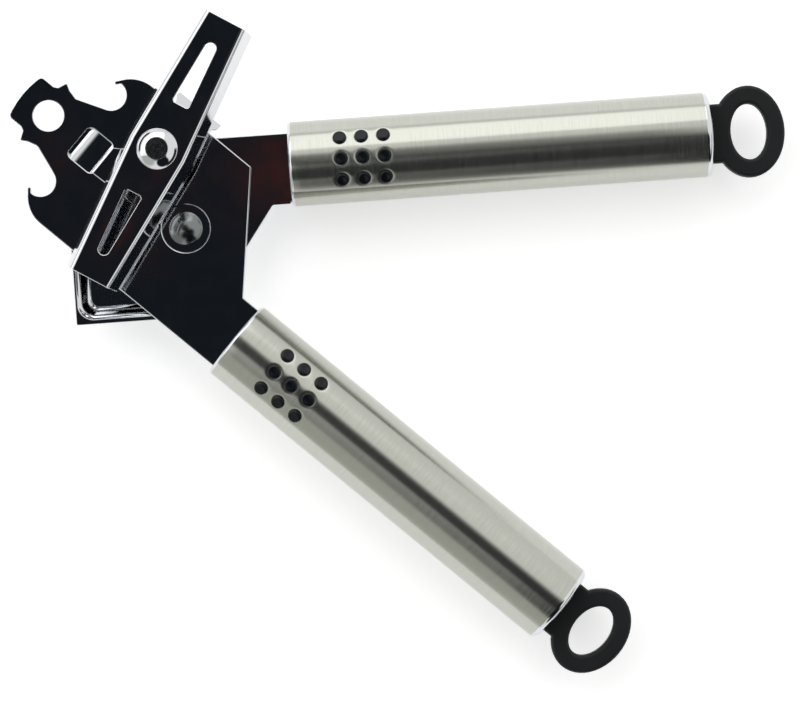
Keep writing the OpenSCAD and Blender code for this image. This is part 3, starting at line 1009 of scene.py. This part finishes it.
def turned_ring(name, profile, sides):
    """A lathe form along Z: one ring of points, extruded and resized down a
    closed profile and merged where it meets its own start."""
    bpy.ops.object.select_all(action="DESELECT")
    z, r = profile[0]
    bpy.ops.mesh.primitive_circle_add(
        vertices=sides, radius=r, location=(0, 0, z), fill_type="NOTHING"
    )
    piece = bpy.context.active_object
    piece.name = name
    bpy.ops.object.transform_apply(location=True, rotation=True, scale=True)
    bpy.ops.object.mode_set(mode="EDIT")
    bpy.ops.mesh.select_mode(type="EDGE")
    bpy.ops.mesh.select_all(action="SELECT")
    for next_z, next_r in profile[1:] + profile[:1]:
        bpy.ops.mesh.extrude_region_move(
            TRANSFORM_OT_translate={"value": (0, 0, next_z - z)}
        )
        bpy.ops.transform.resize(
            value=(next_r / r, next_r / r, 1), center_override=(0, 0, next_z)
        )
        z, r = next_z, next_r
    bpy.ops.mesh.select_all(action="SELECT")
    bpy.ops.mesh.remove_doubles(threshold=0.001 * MM)
    bpy.ops.mesh.normals_make_consistent(inside=False)
    bpy.ops.object.mode_set(mode="OBJECT")
    return piece


def press_dimples(piece, radius):
    """Presses a shallow dimple into the tube's wall round each grip dot."""
    s = shape()
    bpy.ops.object.mode_set(mode="EDIT")
    bpy.ops.mesh.select_mode(type="VERT")
    for along, turn in dot_places():
        out = Vector((math.cos(turn), math.sin(turn), 0))
        spot = out * radius + Vector((0, 0, along))
        bpy.ops.mesh.select_all(action="DESELECT")
        mesh = bmesh.from_edit_mesh(piece.data)
        nearest = min(mesh.verts, key=lambda v: (v.co - spot).length_squared)
        nearest.select_set(True)
        bmesh.update_edit_mesh(piece.data)
        bpy.ops.transform.translate(
            value=-out * s.dimple_depth,
            use_proportional_edit=True,
            proportional_edit_falloff="SMOOTH",
            proportional_size=s.dimple_reach,
        )
    bpy.ops.object.mode_set(mode="OBJECT")


def map_brushing(piece, radius):
    """A UV map with metres round the tube and metres along it."""
    layer = piece.data.uv_layers.new(name="brushing")
    whole_turn = 2 * math.pi
    for face in piece.data.polygons:
        first = None
        for loop in face.loop_indices:
            point = piece.data.vertices[piece.data.loops[loop].vertex_index].co
            turn = math.atan2(point.y, point.x)
            first = turn if first is None else first
            turn -= whole_turn * round((turn - first) / whole_turn)
            layer.data[loop].uv = (turn * radius, point.z)


def burnish_rims(piece, mouth, along, length):
    """Gives the rolled mouth and the rounded far end their brighter finish."""
    piece.data.materials.append(burnished_stainless())
    rolled = 1.6 * shape().mouth_round
    first, last = rolled, length - shape().end_round
    for face in piece.data.polygons:
        if not first < (face.center - mouth).dot(along) < last:
            face.material_index = 1


def make_tube(side):
    """The brushed tube of one handle, with its dimples."""
    mouth, along, radius, length = handle_axis(side)
    piece = turned_ring(side + "_sleeve", tube_profile(radius, length), shape().tube_sides)
    press_dimples(piece, radius)
    map_brushing(piece, radius)
    up = Vector((0, 0, 1))
    across = along.cross(up)
    turn = Matrix((up, across, along)).transposed().to_4x4()
    only(piece)
    piece.matrix_world = Matrix.Translation(mouth) @ turn
    bpy.ops.object.transform_apply(location=True, rotation=True, scale=True)
    bpy.ops.object.shade_smooth_by_angle(angle=math.radians(50))
    settle(piece, side + "_tube")
    burnish_rims(piece, mouth, along, length)


class OPENER_OT_tubes(bpy.types.Operator):
    """Make the two brushed handle tubes."""

    bl_idname = "can_opener.tubes"
    bl_label = "Handle tubes"

    def execute(self, context):
        for side in SIDES:
            make_tube(side)
        return {"FINISHED"}


def make_ring(side):
    """A hanging ring, rounded round its loop but not on the plug in the tube."""
    piece = merged_copy(side + "_end_ring", side + "_hanging_ring")
    middle = handle_axis(side)[0].z
    half, near = shape().ring_thickness / 2, 0.02 * MM

    def on_loop(height):
        return abs(abs(height - middle) - half) < near

    soften(piece, shape().ring_edge, steps=4, rounds_at=on_loop)
    settle(piece, side + "_end_ring")


class OPENER_OT_handle_fittings(bpy.types.Operator):
    """Finish the grip pads, cores and collars, and make the hanging rings."""

    bl_idname = "can_opener.handle_fittings"
    bl_label = "Handle fittings"

    def execute(self, context):
        for side in SIDES:
            make_ring(side)
            rounded_piece(side + "_grip_pad", side + "_grip", shape().dot_edge)
            for part in ("_core", "_collar"):
                node = side + part
                paint(frame["nodes"][node], NODE_SLOT[node])
        return {"FINISHED"}


# ---- pivot, drive and cutter ----


def make_rivet(node, centre, head, rise, tail, tail_height):
    """A rivet with a domed head on top and a flat, coned head below. The sizes
    are radii and heights."""
    low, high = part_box(node)
    base = high.z - rise
    shank, cone, edge, tip, steps = 2.5 * MM, 0.6 * MM, 0.12 * MM, 0.02 * MM, 20
    profile = (
        [(base, shank), (base, head - edge), (base + edge, head)]
        + [(base + z, r) for z, r in dome_arc(head, rise, tip, steps) if z > edge]
        + [(low.z, tip), (low.z, tail - cone), (low.z + tail_height, tail)]
        + [(low.z + tail_height, shank)]
    )
    turned_piece(node, node + "_finished", centre, profile)


class OPENER_OT_pivot(bpy.types.Operator):
    """Make the pivot rivet and its washers."""

    bl_idname = "can_opener.pivot"
    bl_label = "Pivot"

    def execute(self, context):
        make_rivet(
            "pivot_rivet",
            PIVOT,
            head=shape().pivot_head,
            rise=shape().pivot_rise,
            tail=4.0 * MM,
            tail_height=1.2 * MM,
        )
        for node in ("pivot_washer", "pivot_back_washer"):
            rounded_piece(node, node + "_finished", shape().part_edge)
        return {"FINISHED"}


class OPENER_OT_drive(bpy.types.Operator):
    """Make the drive shaft, its bushing and washer, the feed wheel and nut."""

    bl_idname = "can_opener.drive"
    bl_label = "Drive"

    def execute(self, context):
        turned = ("drive_shaft", "drive_bushing", "thrust_washer", "feed_wheel", "feed_nut")
        for node in turned:
            rounded_piece(node, node + "_finished", shape().part_edge)
        return {"FINISHED"}


class OPENER_OT_cutter(bpy.types.Operator):
    """Make the cutting disc with its rivet, spacer and washer."""

    bl_idname = "can_opener.cutter"
    bl_label = "Cutter"

    def execute(self, context):
        make_rivet(
            "cutter_rivet",
            Vector(joint("cutter_spin")["pos_m"]),
            head=4.0 * MM,
            rise=1.2 * MM,
            tail=4.4 * MM,
            tail_height=1.1 * MM,
        )
        for node in ("cutter_spacer", "cutter_washer"):
            rounded_piece(node, node + "_finished", shape().part_edge)
        keen_edge = 0.05 * MM
        rounded_piece("cutter_wheel", "cutting_disc", keen_edge, 2)
        return {"FINISHED"}


# ---- stage ----


def view_direction(turn_degrees, tilt_degrees):
    """Direction that is turned from the picture's right-hand side and tilted
    away from the vertical."""
    turn = math.radians(turn_degrees) + bpy.context.scene.opener_stage.camera_turn
    tilt = math.radians(tilt_degrees)
    level = Vector((math.cos(turn), math.sin(turn), 0)) * math.sin(tilt)
    return level + Vector((0, 0, math.cos(tilt)))


def white_board(name):
    """Translucent white board, lit from below, that the opener lies on."""
    board, _, shader = blank_material(name)
    stage = bpy.context.scene.opener_stage
    shader.inputs["Emission Color"].default_value = (1, 1, 1, 1)
    shader.inputs["Emission Strength"].default_value = stage.board_glow
    shader.inputs["Roughness"].default_value = 0.8
    shader.inputs["Specular IOR Level"].default_value = 0.2
    shader.inputs["Base Color"].default_value = stage.floor_colour
    return board


def cone_mask(tree, ray, axis, inner, outer):
    """1 inside a cone about axis, falling smoothly to 0 at its outer angle."""
    dot = add_node(
        tree,
        "ShaderNodeVectorMath",
        settings={"operation": "DOT_PRODUCT"},
        links={0: ray},
    )
    dot.inputs[1].default_value = axis
    return add_node(
        tree,
        "ShaderNodeMapRange",
        settings={"interpolation_type": "SMOOTHSTEP"},
        values={
            "From Min": math.cos(math.radians(outer)),
            "From Max": math.cos(math.radians(inner)),
        },
        links={"Value": dot.outputs["Value"]},
    ).outputs["Result"]


# Each cone of the surroundings gives its turn from the picture's right, its tilt
# from the vertical, and the angles at which it starts and stops fading out, all
# in degrees. The dark ones are openings in the tent, the camera's own first; the
# dim one is a fold in its cloth; the warm ones are brown things in the dark room,
# and the doorways are open down to the floor.
DARK_CONES = (
    (146, 8, 10, 21),
    (-60, 10, 8, 22),
    (-97, 32, 13, 24),
    (-38, 28, 13, 21),
    (-62, 43, 14, 22),
    (-68, 62, 20, 27),
)
DIM_CONES = ((-135, 62, 20, 34),)
WARM_CONES = (
    (124, 4.0, 0.3, 0.95),
    (157, 5.5, 0.0, 0.5),
    (150, 7.2, 0.0, 0.35),
    (141, 5.4, 0.1, 0.45),
)
DOORWAY_CONES = ((-29, 90, 28, 40), (151, 90, 28, 40))
DOORWAY_TOP = (74, 78)  # tilts from the vertical where a doorway starts to darken


def cone_union(tree, ray, cones):
    """1 inside any of the cones, falling to 0 outside all of them."""
    total = None
    for turn, tilt, inner, outer in cones:
        mask = cone_mask(tree, ray, view_direction(turn, tilt), inner, outer)
        if total is not None:
            mask = add_node(
                tree,
                "ShaderNodeMath",
                settings={"operation": "MAXIMUM"},
                links={0: total, 1: mask},
            ).outputs[0]
        total = mask
    return total


def low_belt(tree, ray):
    """1 just above the horizon on two opposite sides, where the tent's doorways
    stand open."""
    height = add_node(tree, "ShaderNodeSeparateXYZ", links={0: ray}).outputs["Z"]
    low = add_node(
        tree,
        "ShaderNodeMapRange",
        settings={"interpolation_type": "SMOOTHSTEP"},
        values={
            "From Min": math.cos(math.radians(DOORWAY_TOP[0])),
            "From Max": math.cos(math.radians(DOORWAY_TOP[1])),
        },
        links={"Value": height},
    ).outputs["Result"]
    sides = cone_union(tree, ray, DOORWAY_CONES)
    return add_node(
        tree, "ShaderNodeMath", settings={"operation": "MULTIPLY"}, links={0: low, 1: sides}
    ).outputs[0]


def blend_colours(tree, factor, first, second):
    """A colour between first and second, each a value or a node's output."""
    mix = add_node(
        tree, "ShaderNodeMix", settings={"data_type": "RGBA"}, links={0: factor}
    )
    for index, colour in ((6, first), (7, second)):
        if isinstance(colour, bpy.types.NodeSocket):
            tree.links.new(colour, mix.inputs[index])
        else:
            mix.inputs[index].default_value = colour
    return mix.outputs[2]


def set_sky(context):
    """A diffusing tent: bright all round, with a dark room behind its opening."""
    world = bpy.data.worlds.new("tent")
    context.scene.world = world
    world.use_nodes = True
    tree = world.node_tree
    ray = add_node(tree, "ShaderNodeTexCoord").outputs["Generated"]
    blotch_scale = 42.0
    blotch = add_node(
        tree,
        "ShaderNodeTexNoise",
        values={"Scale": blotch_scale, "Detail": 2.0},
        links={"Vector": ray},
    )
    warm = add_node(
        tree,
        "ShaderNodeMapRange",
        values={"From Min": 0.66, "From Max": 0.9},
        links={"Value": blotch.outputs["Fac"]},
    )
    warmth = add_node(
        tree,
        "ShaderNodeMath",
        settings={"operation": "MAXIMUM"},
        links={0: warm.outputs["Result"], 1: cone_union(tree, ray, WARM_CONES)},
    )
    room = blend_colours(tree, warmth.outputs[0], linear("#191D22"), linear("#3C2220"))
    level, tint = context.scene.opener_stage.sky, 0.98
    bright = (level, level, level * tint, 1)
    dim = blend_colours(tree, cone_union(tree, ray, DIM_CONES), bright, linear("#C3C5BE"))
    walls = blend_colours(tree, low_belt(tree, ray), dim, linear("#2E302B"))
    tent = blend_colours(tree, cone_union(tree, ray, DARK_CONES), walls, room)
    tree.links.new(tent, tree.nodes["Background"].inputs["Color"])


def add_softbox(name, aim, turn, tilt, size, power):
    """An area light that faces the opener from the given direction."""
    towards = view_direction(turn, tilt)
    distance = 0.9
    data = bpy.data.lights.new(name, "AREA")
    data.shape = "RECTANGLE"
    data.size, data.size_y = size
    data.energy = power
    lamp = bpy.data.objects.new(name, data)
    bpy.context.scene.collection.objects.link(lamp)
    lamp.location = aim + towards * distance
    lamp.rotation_euler = towards.to_track_quat("Z", "Y").to_euler()
    return lamp


class OPENER_OT_stage(bpy.types.Operator):
    """Lay the white board, hang the lights and place the camera."""

    bl_idname = "can_opener.stage"
    bl_label = "Stage"

    def execute(self, context):
        stage = context.scene.opener_stage
        aim = Vector((stage.aim[0], stage.aim[1], 0))
        bpy.ops.object.select_all(action="DESELECT")
        board_size = 30
        bpy.ops.mesh.primitive_plane_add(
            size=board_size, location=(aim.x, aim.y, CAD_BOX[0].z)
        )
        board = context.active_object
        board.name = "board"
        board.data.materials.append(white_board("white_board"))
        set_sky(context)
        add_softbox(
            "top_softbox", aim, turn=106, tilt=58, size=(1.2, 0.7), power=stage.top_softbox
        )
        add_softbox(
            "left_softbox", aim, turn=168, tilt=62, size=(1.0, 0.6), power=stage.left_softbox
        )
        data = bpy.data.cameras.new("camera")
        data.lens = stage.lens
        camera = bpy.data.objects.new("camera", data)
        context.scene.collection.objects.link(camera)
        camera.location = aim + Vector((0, 0, stage.camera_height))
        camera.rotation_euler = (0, 0, stage.camera_turn)
        context.scene.camera = camera
        context.scene.view_settings.view_transform = "Standard"
        return {"FINISHED"}


OPERATORS = (
    OPENER_OT_stage,
    OPENER_OT_plates,
    OPENER_OT_key,
    OPENER_OT_tubes,
    OPENER_OT_handle_fittings,
    OPENER_OT_pivot,
    OPENER_OT_drive,
    OPENER_OT_cutter,
)


class OPENER_PT_panel(bpy.types.Panel):
    """Lists the steps that dress the can opener."""

    bl_idname = "OPENER_PT_panel"
    bl_label = "Can opener"
    bl_space_type = "VIEW_3D"
    bl_region_type = "UI"
    bl_category = "Can opener"

    def draw(self, context):
        column = self.layout.column()
        for operator in OPERATORS:
            column.operator(operator.bl_idname)


GROUPS = {
    "opener_shape": OpenerShape,
    "opener_finish": OpenerFinish,
    "opener_stage": OpenerStage,
}


def register():
    for group in GROUPS.values():
        bpy.utils.register_class(group)
    for name, group in GROUPS.items():
        setattr(bpy.types.Scene, name, PointerProperty(type=group))
    for entry in (*OPERATORS, OPENER_PT_panel):
        bpy.utils.register_class(entry)


def unregister():
    for entry in (OPENER_PT_panel, *reversed(OPERATORS)):
        bpy.utils.unregister_class(entry)
    for name, group in GROUPS.items():
        delattr(bpy.types.Scene, name)
        bpy.utils.unregister_class(group)


def main():
    register()
    for operator in OPERATORS:
        category, step = operator.bl_idname.split(".")
        getattr(getattr(bpy.ops, category), step)()


if __name__ == "__main__":
    main()
